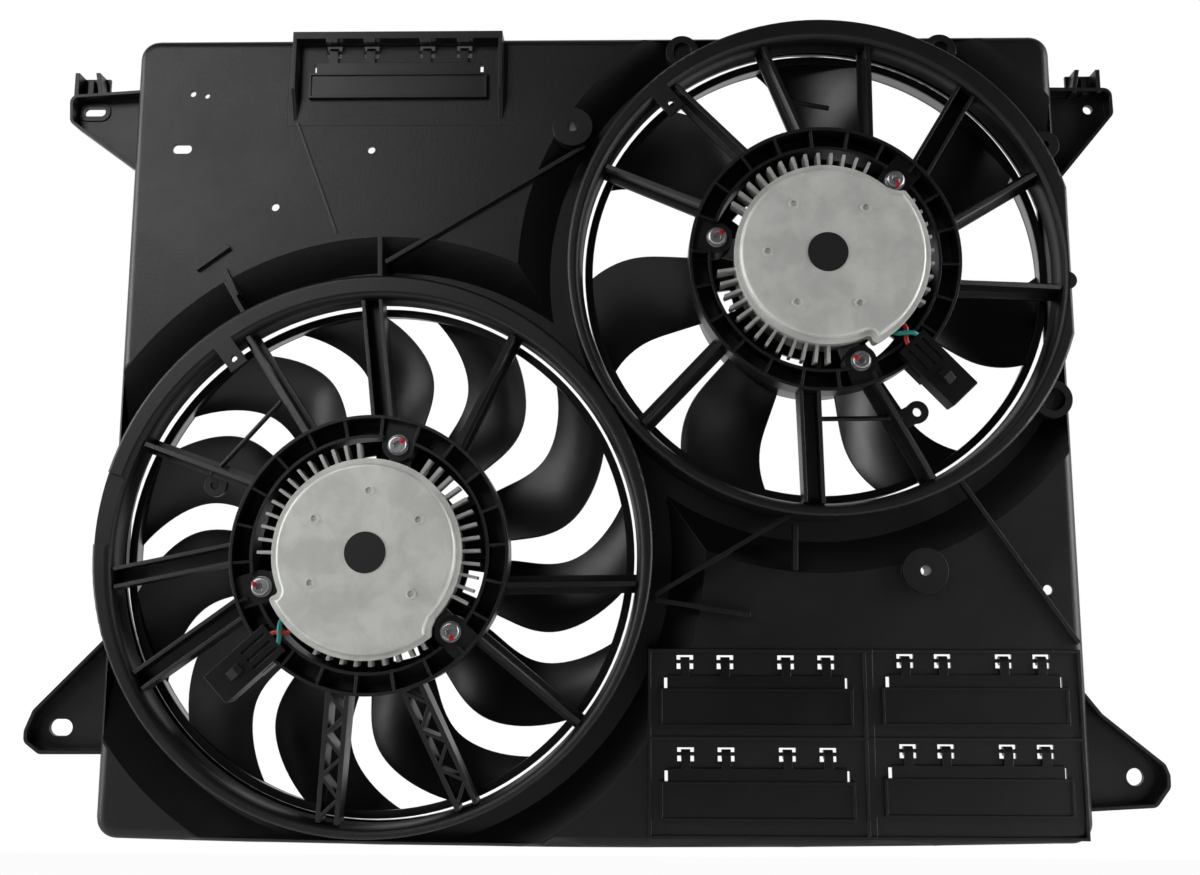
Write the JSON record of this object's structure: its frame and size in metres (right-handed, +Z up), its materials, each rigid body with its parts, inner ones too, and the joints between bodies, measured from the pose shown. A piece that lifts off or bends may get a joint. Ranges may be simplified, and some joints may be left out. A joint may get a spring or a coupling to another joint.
{
  "type": "twin radiator fan shroud",
  "caption": "Flat moulded shroud with a large and a small electric fan in round barrels, spoked motor carriers, hinged air flaps and corner mounting ears.",
  "frame": {"origin": "centre of the lower right mounting hole, on the front face of its plate", "axes": "+X to the right and +Z up as seen from the engine side, +Y towards the radiator; air leaves towards -Y"},
  "size_m": [0.7567, 0.0845, 0.5596],
  "materials": {
    "shroud_plastic": "fine-textured black glass-filled nylon, satin",
    "fan_plastic": "smooth moulded black, soft gloss",
    "flap_plastic": "black moulded flap, satin",
    "cast_alloy": "die-cast aluminium, dull",
    "cover_sheet": "pressed sheet, satin",
    "gasket_rubber": "matt rubber",
    "vent_membrane": "matt black membrane",
    "zinc_steel": "zinc-plated steel",
    "circuit_board": "board with lacquer",
    "lamination_steel": "laminated steel",
    "winding_copper": "enamelled copper wire",
    "bearing_steel": "ground steel",
    "connector_plastic": "black plug housing, satin",
    "terminal_metal": "tinned blades",
    "lead_red": "red wire sleeve",
    "lead_teal": "teal wire sleeve",
    "bell_steel": "black-coated drawn steel",
    "magnet_ferrite": "ferrite segments"
  },
  "bodies": {
    "shroud": {"shroud_panel": "shroud_plastic", "flap_grid": "shroud_plastic", "top_flap_frame": "shroud_plastic", "shroud_rim": "shroud_plastic", "upper_left_ear": "shroud_plastic", "upper_right_ear": "shroud_plastic", "lower_left_ear": "shroud_plastic", "lower_right_ear": "shroud_plastic", "motor_screws": "zinc_steel", "main_barrel": "shroud_plastic", "main_barrel_skirt": "shroud_plastic", "main_spokes": "shroud_plastic", "main_carrier_ring": "shroud_plastic", "main_motor_housing": "cast_alloy", "main_motor_cover": "cover_sheet", "main_cover_gasket": "gasket_rubber", "main_vent_patch": "vent_membrane", "main_controller_board": "circuit_board", "main_stator_core": "lamination_steel", "main_stator_windings": "winding_copper", "main_bearings": "bearing_steel", "main_connector": "connector_plastic", "main_connector_terminals": "terminal_metal", "main_lead_red": "lead_red", "main_lead_teal": "lead_teal", "second_barrel": "shroud_plastic", "second_barrel_skirt": "shroud_plastic", "second_spokes": "shroud_plastic", "second_carrier_ring": "shroud_plastic", "second_motor_housing": "cast_alloy", "second_motor_cover": "cover_sheet", "second_cover_gasket": "gasket_rubber", "second_vent_patch": "vent_membrane", "second_controller_board": "circuit_board", "second_stator_core": "lamination_steel", "second_stator_windings": "winding_copper", "second_bearings": "bearing_steel", "second_connector": "connector_plastic", "second_connector_terminals": "terminal_metal", "second_lead_red": "lead_red", "second_lead_teal": "lead_teal"},
    "main_fan": {"main_fan_hub": "fan_plastic", "main_fan_blades": "fan_plastic", "main_fan_band": "fan_plastic", "main_rotor_bell": "bell_steel", "main_rotor_magnets": "magnet_ferrite", "main_rotor_shaft": "bearing_steel", "main_fan_screws": "zinc_steel"},
    "second_fan": {"second_fan_hub": "fan_plastic", "second_fan_blades": "fan_plastic", "second_fan_band": "fan_plastic", "second_rotor_bell": "bell_steel", "second_rotor_magnets": "magnet_ferrite", "second_rotor_shaft": "bearing_steel", "second_fan_screws": "zinc_steel"},
    "top_flap": {"top_flap": "flap_plastic"},
    "upper_inner_flap": {"upper_inner_flap": "flap_plastic"},
    "upper_outer_flap": {"upper_outer_flap": "flap_plastic"},
    "lower_inner_flap": {"lower_inner_flap": "flap_plastic"},
    "lower_outer_flap": {"lower_outer_flap": "flap_plastic"}
  },
  "joints": [
    {"name": "main_fan_spin", "type": "hinge", "parent": "shroud", "child": "main_fan", "pos_m": [-0.5001, -0.016, 0.1434], "axis": [0, -1, 0], "continuous": true},
    {"name": "second_fan_spin", "type": "hinge", "parent": "shroud", "child": "second_fan", "pos_m": [-0.206, -0.016, 0.3374], "axis": [0, -1, 0], "continuous": true},
    {"name": "top_flap_hinge", "type": "hinge", "parent": "shroud", "child": "top_flap", "pos_m": [-0.4983, -0.0147, 0.5035], "axis": [-1, 0, 0], "range_deg": [0, 70]},
    {"name": "upper_inner_flap_hinge", "type": "hinge", "parent": "shroud", "child": "upper_inner_flap", "pos_m": [-0.251, -0.0147, 0.0747], "axis": [-1, 0, 0], "range_deg": [0, 70]},
    {"name": "upper_outer_flap_hinge", "type": "hinge", "parent": "shroud", "child": "upper_outer_flap", "pos_m": [-0.108, -0.0147, 0.0758], "axis": [-1, 0, 0], "range_deg": [0, 70]},
    {"name": "lower_inner_flap_hinge", "type": "hinge", "parent": "shroud", "child": "lower_inner_flap", "pos_m": [-0.251, -0.0147, 0.0153], "axis": [-1, 0, 0], "range_deg": [0, 70]},
    {"name": "lower_outer_flap_hinge", "type": "hinge", "parent": "shroud", "child": "lower_outer_flap", "pos_m": [-0.108, -0.0147, 0.0179], "axis": [-1, 0, 0], "range_deg": [0, 70]}
  ]
}
